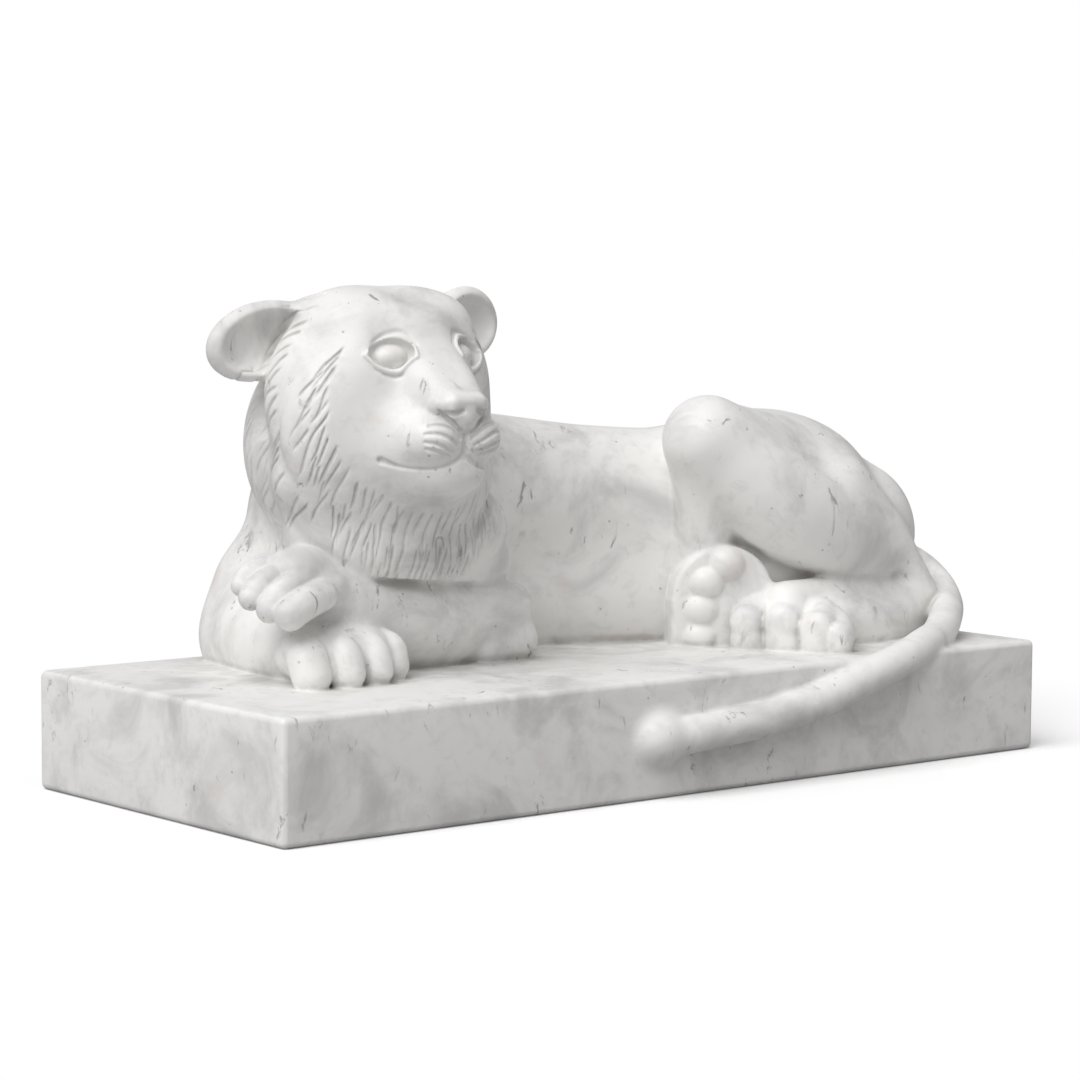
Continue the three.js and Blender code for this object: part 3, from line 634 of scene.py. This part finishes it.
def tail(clay, sizes):
    """From the rump round the heel, over the plinth's edge and along its front face to a knob."""
    front = -sizes.plinth_deep / 2 - 4
    route = [(258, 34, 118), (282, 12, 122), (290, -20, 117), (289, -46, 105), (281, -65, 92),
             (260, -84, 84), (234, -102, 77), (205, -117, 74), (176, -128, 69), (145, front, 62),
             (110, front, 52), (76, front, 45), (35, front, 40), (-6, front, 37.5)]
    clay.limb(route, [sizes.tail_radius] * len(route), 3, 6)
    clay.egg((-27, front + 4, 36), (18.5, 13, 14.5), 9)


# Chisel strokes in the mane

def drawn(tree, start, flow, long, sway):
    """A path over the surface, a point to each millimetre, swaying a little from side to side."""
    here, normal = tree.find_nearest(start)[:2]
    path = [here]
    for step in range(int(long)):
        along = flow - flow.dot(normal) * normal
        along = along.normalized() + normal.cross(along.normalized()) * sway * math.sin(step / SWAY_LONG)
        here, normal = tree.find_nearest(here + along.normalized())[:2]
        path.append(here)
    return np.array(path)


# Rows of chisel strokes round the head: the middle and the half-width and half-height of the oval that the
# strokes start on, its depth, the angles it runs between, and then the number, length and width of the
# strokes, their depth, and how far they lead outwards, back and down
ROWS = (
    # from the edge of the face over the front ruff, and round the chin over the beard
    ((0, -4), (66, 58), -30, (140, 244), 15, 26, 0.9, 1.5, (0.35, 0.4, 1.0)),
    ((0, -4), (64, 58), -36, (236, 306), 14, 27, 0.8, 1.4, (0.2, 0.2, 1.0)),
    ((0, -4), (66, 56), -32, (306, 416), 14, 34, 0.9, 1.5, (0.7, 0.4, 0.9)),
    ((0, -12), (73, 68), -24, (146, 250), 15, 22, 0.9, 1.4, (0.3, 0.5, 1.0)),
    ((2, -14), (68, 72), -30, (238, 350), 17, 22, 0.8, 1.3, (0.35, 0.2, 1.0)),
    # the ruff behind it
    ((-2, -6), (78, 62), 2, (112, 236), 17, 30, 1.1, 1.4, (0.4, 1.0, 0.9)),
    ((-2, -10), (80, 66), 22, (122, 230), 14, 30, 0.9, 1.0, (0.3, 1.0, 1.3)),
    # the collar under the beard
    ((4, -22), (76, 68), -24, (216, 330), 24, 25, 0.8, 1.5, (0.2, 0.1, 1.0)),
    ((8, -26), (80, 76), -18, (236, 330), 20, 14, 0.8, 1.2, (0.25, 0.1, 1.0)),
    # the other side, the neck and the back of the mane
    ((2, -8), (78, 62), 6, (-52, 62), 16, 34, 1.0, 1.2, (0.4, 1.0, 0.9)),
    ((4, -12), (74, 60), 36, (140, 236), 13, 46, 0.8, 0.9, (0.2, 0.9, 1.4)),
    ((4, -12), (74, 60), 36, (-50, 44), 13, 46, 0.8, 0.9, (0.2, 0.9, 1.4)),
    ((4, -8), (66, 54), 60, (18, 162), 16, 60, 0.9, 1.0, (0.2, 1.2, 1.2)),
)


def mane_strokes(tree, head):
    """The chisel strokes: each is a path, its width and its depth."""
    chance = np.random.default_rng(SEED)
    strokes = []
    for (x, z), (wide, high), y, (first, last), count, long, broad, deep, (out, back, down) in ROWS:
        pitch = (last - first) / count
        for i in range(count):
            angle = math.radians(first + pitch * (i + chance.uniform(0.15, 0.85)))
            across, up = math.cos(angle), math.sin(angle)
            spread = chance.uniform(0.97, 1.04)
            start = head.out((x + wide * across * spread, y, z + high * up * spread))
            flow = Vector((out * across, back, out * up - down))
            length = long * chance.uniform(0.75, 1.3)
            path = drawn(tree, Vector(start), flow, length, chance.uniform(-0.3, 0.3))
            strokes.append((path, broad * chance.uniform(0.8, 1.2), deep * chance.uniform(0.7, 1.15)))
    return strokes


def stroke_depth(points, normals, strokes):
    """How deep the strokes cut at each point: steep on one side and gentle on the other."""
    deep = np.zeros(len(points))
    for path, wide, depth in strokes:
        reach = wide * GENTLE
        near = np.nonzero(((points > path.min(0) - reach) & (points < path.max(0) + reach)).all(1))[0]
        if not len(near):
            continue
        gaps = points[near, None] - path
        closest = np.einsum("nsj,nsj->ns", gaps, gaps).argmin(1)
        ahead = np.gradient(path, axis=0)[closest]
        ahead /= length_of(ahead)[:, None] + TINY
        gap = gaps[np.arange(len(near)), closest]
        aside = np.einsum("ij,ij->i", gap, np.cross(ahead, normals[near]))
        share = (closest + np.einsum("ij,ij->i", gap, ahead)) / (len(path) - 1)
        fade = np.interp(share, FADE_AT, FADE)
        wall = np.clip(1 - np.where(aside > 0, aside, -aside / GENTLE) / wide, 0, 1)
        level = np.abs(np.einsum("ij,ij->i", gap, normals[near])) < reach
        deep[near] = np.maximum(deep[near], depth * fade * wall ** WALL_CURVE * level)
    return deep


def shape_lion(sizes):
    clay = Clay()
    head = Place(tuple(sizes.head_place))
    collar(clay, head)
    trunk(clay, sizes)
    haunch(clay, sizes)
    forelegs(clay)
    far_forepaw(clay, sizes)
    near_forepaw(clay, sizes)
    mane(clay, head)
    face(clay, head)
    hind_feet(clay, sizes)
    plinth(clay, sizes)
    tail(clay, sizes)
    return clay


def mesh_object(name, vertices, faces):
    mesh = bpy.data.meshes.new(name)
    mesh.from_pydata(vertices.tolist(), [], faces.tolist())
    mesh.update()
    piece = bpy.data.objects.new(name, mesh)
    bpy.context.scene.collection.objects.link(piece)
    return piece


def refined(piece, low, high):
    """The quads between two corners of a box are each split in four."""
    form = bmesh.new()
    form.from_mesh(piece.data)
    inside = [all(a < c < b for a, c, b in zip(low, vertex.co, high)) for vertex in form.verts]
    edges = [edge for edge in form.edges if inside[edge.verts[0].index] and inside[edge.verts[1].index]]
    bmesh.ops.subdivide_edges(form, edges=edges, cuts=1, use_grid_fill=True)
    form.to_mesh(piece.data)
    form.free()


def thinned(piece, most):
    """Fewer triangles, most of them left where the carving is fine."""
    change = piece.modifiers.new("thin", "DECIMATE")
    change.ratio = min(most / sum(len(face.vertices) - 2 for face in piece.data.polygons), 1.0)
    view = bpy.context.evaluated_depsgraph_get()
    mesh = bpy.data.meshes.new_from_object(piece.evaluated_get(view))
    piece.modifiers.clear()
    old = piece.data
    piece.data = mesh
    bpy.data.meshes.remove(old)


def read_vectors(items, name):
    flat = np.zeros(len(items) * 3, np.float32)
    items.foreach_get(name, flat)
    return flat.reshape(-1, 3).astype(float)


def surface_of(mesh):
    """The mesh's points and their outward directions."""
    return read_vectors(mesh.vertices, "co"), read_vectors(mesh.vertex_normals, "vector")


def crevice(clay, points, normals):
    """How far each point lies in a crease or hollow, from none in the open to one where it is buried."""
    return np.clip(1 - clay.distance(points + normals * CREVICE, CREVICE) / CREVICE, 0, 1)


def move_points(mesh, points):
    mesh.vertices.foreach_set("co", points.astype(np.float32).ravel())
    mesh.update()


def carved(sizes, low, high, cell):
    """The finished piece between two corners, with a mark on each point of how far it lies in a hollow."""
    head = Place(tuple(sizes.head_place))
    clay = shape_lion(sizes)
    piece = mesh_object("carved_lion", *skin(clay, low, high, cell, round(math.log2(COARSE / cell))))
    refined(piece, head.origin - FINE_REACH, head.origin + FINE_REACH)
    points = surface_of(piece.data)[0]
    step = np.clip(clay.distance(points), -cell, cell)
    move_points(piece.data, points - step[:, None] * clay.slope(points, cell / 2))
    strokes = mane_strokes(BVHTree.FromObject(piece, bpy.context.evaluated_depsgraph_get()), head)
    points, normals = surface_of(piece.data)
    move_points(piece.data, points - stroke_depth(points, normals, strokes)[:, None] * normals)
    thinned(piece, sizes.triangles)
    points, normals = surface_of(piece.data)
    # the marble uses this mark of depth in strokes and creases to paint shade there
    hollow = np.maximum(stroke_depth(points, normals, strokes), crevice(clay, points, normals))
    mark = piece.data.attributes.new("hollow", "FLOAT", "POINT")
    mark.data.foreach_set("value", np.clip(hollow, 0, 1).astype(np.float32))
    return piece


class CarveLion(bpy.types.Operator):
    """Carve the lion with its plinth and give it its marble"""
    bl_idname = "marble_lion.carve"
    bl_label = "Carve the lion"

    def execute(self, context):
        sizes = context.scene.lion_sizes
        low = np.array(CAD_BOX[0]) / MM - MARGIN
        high = np.array(CAD_BOX[1]) / MM + MARGIN
        piece = carved(sizes, low, high, sizes.cell * (1))
        piece.data.transform(Matrix.Scale(MM, 4))
        piece.data.shade_smooth()
        piece.data.materials.append(honed_marble(context.scene.marble_look))
        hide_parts(NODE)
        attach(piece, "root")
        return {"FINISHED"}


# The marble

def add(tree, kind, inputs=None, **settings):
    """A node with its settings; an input is a value, or a socket that is linked to it."""
    node = tree.nodes.new(kind)
    for name, value in settings.items():
        setattr(node, name, value)
    for key, value in (inputs or {}).items():
        if isinstance(value, bpy.types.NodeSocket):
            tree.links.new(value, node.inputs[key])
        else:
            node.inputs[key].default_value = value
    return node


def noise(tree, place, millimetres, detail=3.0, rough=0.55, warp=0.0):
    """Cloudy noise with features of about the size given."""
    sizes = {"Vector": place, "Scale": 1 / (millimetres * MM), "Detail": detail, "Roughness": rough,
             "Distortion": warp}
    return add(tree, "ShaderNodeTexNoise", sizes).outputs["Fac"]


def share(tree, value, low, high, most=1.0):
    """None below the low value, rising smoothly to the most above the high one."""
    limits = {"Value": value, "From Min": low, "From Max": high, "To Max": most}
    return add(tree, "ShaderNodeMapRange", limits, interpolation_type="SMOOTHSTEP").outputs["Result"]


def math_of(tree, kind, a, b):
    return add(tree, "ShaderNodeMath", {0: a, 1: b}, operation=kind).outputs["Value"]


def mixed(tree, fac, a, b):
    return add(tree, "ShaderNodeMix", {"Factor": fac, "A": a, "B": b}, data_type="RGBA").outputs["Result"]


def honed_marble(look):
    """White marble, carved and honed: light goes a little way in, and the sheen is broad and low.

    Each noise is given the size in millimetres of what it draws in the stone.
    """
    material = bpy.data.materials.new("honed_marble")
    material.use_nodes = True
    tree = material.node_tree
    tree.nodes.clear()
    place = add(tree, "ShaderNodeTexCoord").outputs["Object"]
    leaning = add(tree, "ShaderNodeMapping", {"Vector": place, "Rotation": VEIN_LEAN, "Scale": VEIN_STRETCH})
    leaning = leaning.outputs["Vector"]
    clouds = share(tree, noise(tree, place, 60, 5, 0.62, 0.6), 0.44, 0.72)
    colour = mixed(tree, clouds, tuple(look.stone), tuple(look.shade))
    mottle = share(tree, noise(tree, place, 11, 5, 0.62, 0.4), 0.5, 0.72, 0.3)
    colour = mixed(tree, mottle, colour, tuple(look.shade))
    blush = share(tree, noise(tree, place, 35, 2), 0.6, 0.76, 0.5)
    colour = mixed(tree, blush, colour, tuple(look.blush))
    # flecks gather in loose groups
    groups = share(tree, noise(tree, place, 50, 2), 0.47, 0.6)
    flecks = share(tree, noise(tree, leaning, 10, 6, 0.66, 0.9), 0.6, 0.67, 0.75)
    colour = mixed(tree, math_of(tree, "MULTIPLY", flecks, groups), colour, tuple(look.fleck))
    # painted shade, with some dust: the strokes and creases are darkened by how deep they lie, more in some
    # places than in others
    hollow = add(tree, "ShaderNodeAttribute", attribute_name="hollow").outputs["Fac"]
    patchy = share(tree, noise(tree, place, 22, 3), 0.3, 0.65, 0.35)
    dust_and_painted_shade = math_of(tree, "MULTIPLY", share(tree, hollow, 0.1, 1), patchy)
    colour = mixed(tree, dust_and_painted_shade, colour, tuple(look.grime_and_shade))
    # small pits, about one to every 11 mm, where another noise allows them
    cells = {"Vector": place, "Scale": 1 / (11 * MM), "Randomness": 1.0}
    nearest = add(tree, "ShaderNodeTexVoronoi", cells).outputs["Distance"]
    allowed = share(tree, noise(tree, place, 30, 2), 0.52, 0.6)
    pits = math_of(tree, "MULTIPLY", share(tree, nearest, 0.11, 0.04), allowed)
    colour = mixed(tree, math_of(tree, "MULTIPLY", pits, 0.5), colour, tuple(look.grime_and_shade))
    # the unevenness that rubbing down by hand leaves, and the stone's grain on it
    grain = math_of(tree, "MULTIPLY", noise(tree, place, 1.3, 2), 0.2)
    tooth = math_of(tree, "ADD", noise(tree, place, 8, 3), grain)
    height = math_of(tree, "SUBTRACT", tooth, pits)
    bump = add(tree, "ShaderNodeBump", {"Height": height, "Strength": 0.5, "Distance": 0.5 * MM})
    # honed stone: roughness from 0.36 to 0.56
    rough = math_of(tree, "ADD", share(tree, noise(tree, place, 25, 3), 0.2, 0.8, 0.2), 0.36)
    shader = add(tree, "ShaderNodeBsdfPrincipled", {
        "Base Color": colour, "Roughness": rough, "Normal": bump.outputs["Normal"], "IOR": MARBLE_IOR,
        "Subsurface Weight": GLOW_SHARE, "Subsurface Radius": GLOW_COLOUR, "Subsurface Scale": GLOW_DEPTH})
    add(tree, "ShaderNodeOutputMaterial", {"Surface": shader.outputs["BSDF"]})
    return material


# The studio

# The camera that shows the plinth's edges as the photograph does: its place in metres, its turn in
# degrees, and its focal length and film width
CAMERA_PLACE = (-1.27992, -1.53329, 0.32103)
CAMERA_TURN = (84.9286, -0.3625, -39.4534)
CAMERA_LENS = 106.82
FILM_WIDE = 36


def set_camera(scene):
    camera = bpy.data.cameras.new("camera")
    camera.lens = CAMERA_LENS
    camera.sensor_width = FILM_WIDE
    viewer = bpy.data.objects.new("camera", camera)
    viewer.location = CAMERA_PLACE
    viewer.rotation_euler = [math.radians(v) for v in CAMERA_TURN]
    scene.collection.objects.link(viewer)
    scene.camera = viewer


def set_lights(scene, look):
    """A broad soft light high on the left, and an even sky that shows as plain white."""
    key = bpy.data.lights.new("key", "SUN")
    key.energy = look.key_power
    key.angle = look.key_angle
    lamp = bpy.data.objects.new("key", key)
    lamp.rotation_euler = Vector(look.key_from).to_track_quat("Z", "Y").to_euler()
    scene.collection.objects.link(lamp)
    world = bpy.data.worlds.new("sky")
    world.use_nodes = True
    tree = world.node_tree
    seen = add(tree, "ShaderNodeLightPath").outputs["Is Camera Ray"]
    strength = add(tree, "ShaderNodeMix", {"Factor": seen, "A": look.sky, "B": 1.0}).outputs["Result"]
    tree.nodes["Background"].inputs["Color"].default_value = (1, 1, 1, 1)
    tree.links.new(strength, tree.nodes["Background"].inputs["Strength"])
    scene.world = world


def set_floor(look):
    bpy.ops.mesh.primitive_plane_add(size=FLOOR_SIZE)
    floor = bpy.context.active_object
    floor.name = "studio_floor"
    paint = bpy.data.materials.new("matt_floor_paint")
    paint.use_nodes = True
    tree = paint.node_tree
    seen = add(tree, "ShaderNodeLightPath").outputs["Is Camera Ray"]
    colour = mixed(tree, seen, tuple(look.bounce), tuple(look.floor))
    shader = tree.nodes["Principled BSDF"]
    tree.links.new(colour, shader.inputs["Base Color"])
    # a little light of its own makes the open floor meet the white sky
    tree.links.new(math_of(tree, "MULTIPLY", seen, look.lift), shader.inputs["Emission Strength"])
    shader.inputs["Emission Color"].default_value = tuple(look.floor)
    shader.inputs["Roughness"].default_value = 0.9
    shader.inputs["Specular IOR Level"].default_value = 0.0
    floor.data.materials.append(paint)


class SetStudio(bpy.types.Operator):
    """Set the pale floor, the soft lights and the camera"""
    bl_idname = "marble_lion.studio"
    bl_label = "Set the studio"

    def execute(self, context):
        look = context.scene.studio_look
        set_camera(context.scene)
        set_lights(context.scene, look)
        set_floor(look)
        context.scene.view_settings.view_transform = "Standard"
        return {"FINISHED"}


class LionPanel(bpy.types.Panel):
    """Sizes and colours of the marble lion"""
    bl_label = "Marble Lion"
    bl_idname = "VIEW3D_PT_marble_lion"
    bl_space_type = "VIEW_3D"
    bl_region_type = "UI"
    bl_category = "Marble Lion"

    def draw(self, context):
        for group in (context.scene.lion_sizes, context.scene.marble_look, context.scene.studio_look):
            box = self.layout.box()
            for name in group.__annotations__:
                box.prop(group, name)
        self.layout.operator(CarveLion.bl_idname)
        self.layout.operator(SetStudio.bl_idname)


GROUPS = {"lion_sizes": LionSizes, "marble_look": MarbleLook, "studio_look": StudioLook}
CLASSES = (*GROUPS.values(), CarveLion, SetStudio, LionPanel)


def register():
    for cls in CLASSES:
        bpy.utils.register_class(cls)
    for name, cls in GROUPS.items():
        setattr(bpy.types.Scene, name, PointerProperty(type=cls))


def unregister():
    for name in GROUPS:
        delattr(bpy.types.Scene, name)
    for cls in reversed(CLASSES):
        bpy.utils.unregister_class(cls)


def main():
    register()
    bpy.ops.marble_lion.studio()
    bpy.ops.marble_lion.carve()


if __name__ == "__main__":
    main()
